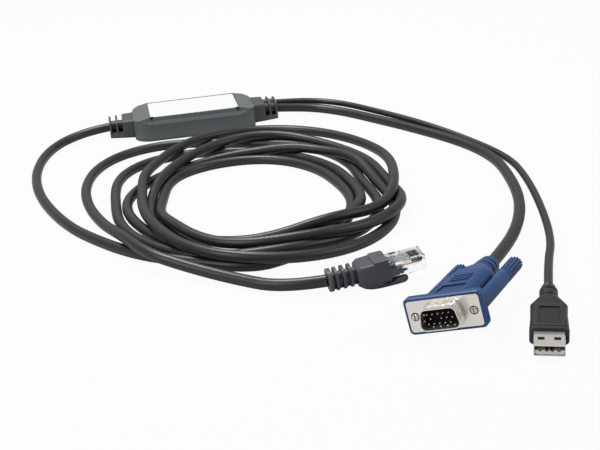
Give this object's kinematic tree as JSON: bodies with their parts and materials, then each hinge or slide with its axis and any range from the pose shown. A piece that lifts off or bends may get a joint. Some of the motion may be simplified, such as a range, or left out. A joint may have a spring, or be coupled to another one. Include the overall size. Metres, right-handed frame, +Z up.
{
  "type": "kvm dongle",
  "caption": "In-line KVM server interface cable: small grey electronics housing, coiled network cable with booted RJ45 plug, and video and USB computer cables.",
  "frame": {"origin": "centre of the housing's underside", "axes": "+X along the housing towards the video and USB cables, +Z up out of the label, +Y across the housing away from the plugs"},
  "size_m": [0.2735, 0.3987, 0.0233],
  "materials": {
    "housing_grey": "fine matt moulded plastic, slate grey",
    "label_white": "satin film label, bare",
    "relief_grey": "soft matt moulding, slate grey",
    "board_green": "solder mask over glass laminate",
    "chip_black": "moulded package",
    "crystal_steel": "drawn can",
    "capacitor_metal": "drawn can",
    "header_white": "moulded nylon",
    "cable_black": "satin flexible jacket, charcoal",
    "plug_blue": "satin moulded blue",
    "nickel": "bright nickel plate",
    "insulator_black": "moulded insulator",
    "pin_metal": "plated contact",
    "screw_steel": "plated screw",
    "usb_black": "satin moulded, near black",
    "tongue_white": "moulded white insulator",
    "contact_gold": "gold plate",
    "boot_grey": "soft matt moulding, dark blue-grey",
    "plug_clear": "clear polycarbonate",
    "wire_colours": "conductor insulation in several colours",
    "jacket_grey": "cut end of the cable jacket"
  },
  "bodies": {
    "dongle": {"housing_base": "housing_grey", "housing_cover": "housing_grey", "label": "label_white", "network_strain_relief": "relief_grey", "computer_strain_relief": "relief_grey", "circuit_board": "board_green", "processor_chip": "chip_black", "video_chips": "chip_black", "network_transformer": "chip_black", "clock_crystal": "crystal_steel", "capacitors": "capacitor_metal", "network_wire_header": "header_white", "computer_wire_header": "header_white", "network_cable_lead": "cable_black", "network_cable_coil": "cable_black", "network_cable_tail": "cable_black", "vga_cable": "cable_black", "usb_cable": "cable_black", "vga_overmould": "plug_blue", "vga_front_shell": "nickel", "vga_insulator": "insulator_black", "vga_pins": "pin_metal", "usb_overmould": "usb_black", "usb_shell": "nickel", "usb_tongue": "tongue_white", "usb_contacts": "contact_gold", "rj45_boot": "boot_grey", "rj45_plug": "plug_clear", "rj45_contacts": "contact_gold", "rj45_wires": "wire_colours", "rj45_jacket_end": "jacket_grey"},
    "left_thumbscrew": {"vga_jackscrew_left": "screw_steel", "vga_thumb_knob_left": "plug_blue"},
    "right_thumbscrew": {"vga_jackscrew_right": "screw_steel", "vga_thumb_knob_right": "plug_blue"},
    "latch": {"rj45_latch": "plug_clear"}
  },
  "joints": [
    {"name": "left_thumbscrew_turn", "type": "hinge", "parent": "dongle", "child": "left_thumbscrew", "pos_m": [0.08491, -0.30412, 0.0051], "axis": [0.5783, 0.8108, -0.0906], "continuous": true},
    {"name": "right_thumbscrew_turn", "type": "hinge", "parent": "dongle", "child": "right_thumbscrew", "pos_m": [0.10494, -0.31771, 0.01134], "axis": [0.5783, 0.8108, -0.0906], "continuous": true},
    {"name": "latch_press", "type": "hinge", "parent": "dongle", "child": "latch", "pos_m": [0.07548, -0.28521, 0.00558], "axis": [-0.0262, 0.9997, 0], "range_deg": [0, 5.5], "stiffness_Nm_per_rad": 0.002, "springref_deg": -4.58}
  ]
}
